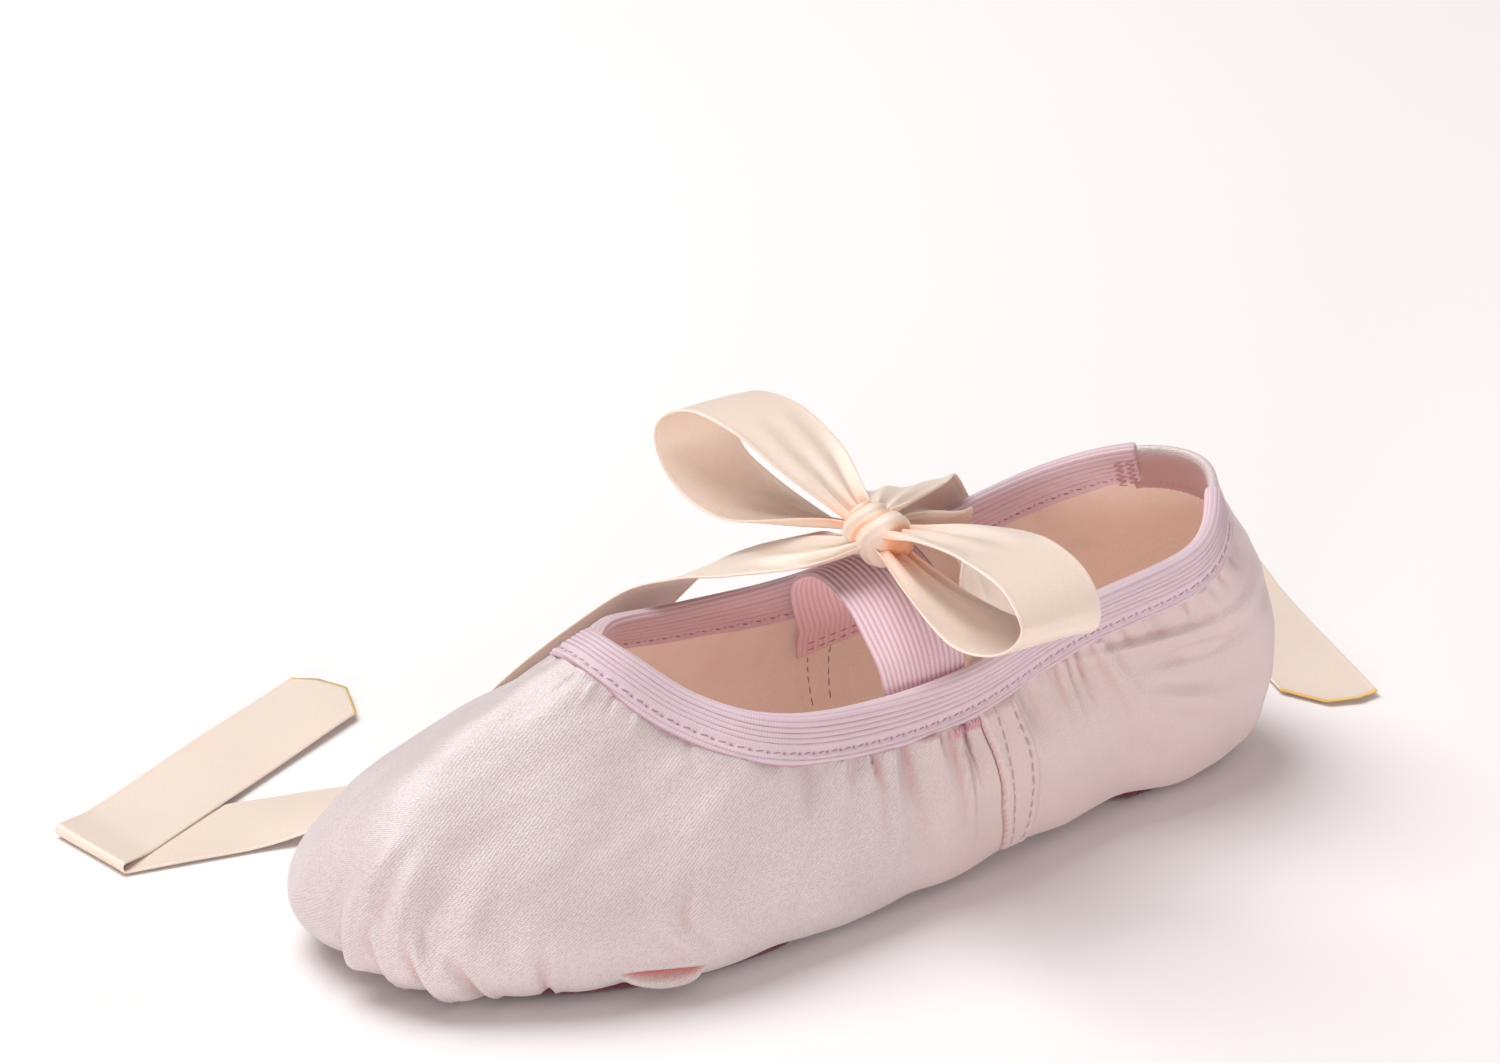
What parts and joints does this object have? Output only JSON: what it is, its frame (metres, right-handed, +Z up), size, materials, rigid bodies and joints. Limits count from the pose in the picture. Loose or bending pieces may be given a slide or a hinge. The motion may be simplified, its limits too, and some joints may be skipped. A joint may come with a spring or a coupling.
{
  "type": "ballet slipper",
  "caption": "Soft split-sole ballet slipper with a gathered satin upper, elastic-bound collar, instep strap and a pair of satin ribbons tied in a bow.",
  "frame": {"origin": "on the floor under the middle of the slipper's length and width, without its ribbons", "axes": "+X along the slipper from toe to heel, +Z up, +Y towards the side on which the ribbons' free ends lie"},
  "size_m": [0.2993, 0.1732, 0.0821],
  "materials": {
    "satin": "satin",
    "suede": "napped",
    "lining": "matte",
    "elastic": "ribbed",
    "ribbon": "satin"
  },
  "bodies": {
    "root": {"upper": "satin", "forefoot_sole": "suede", "heel_sole": "suede", "insole": "lining", "collar_binding": "elastic", "heel_facing": "satin", "instep_strap": "elastic", "ribbon_near_leg": "ribbon", "ribbon_far_leg": "ribbon", "ribbon_knot": "ribbon", "ribbon_near_loop": "ribbon", "ribbon_far_loop": "ribbon", "ribbon_front_end": "ribbon", "ribbon_back_end": "ribbon"}
  },
  "joints": []
}
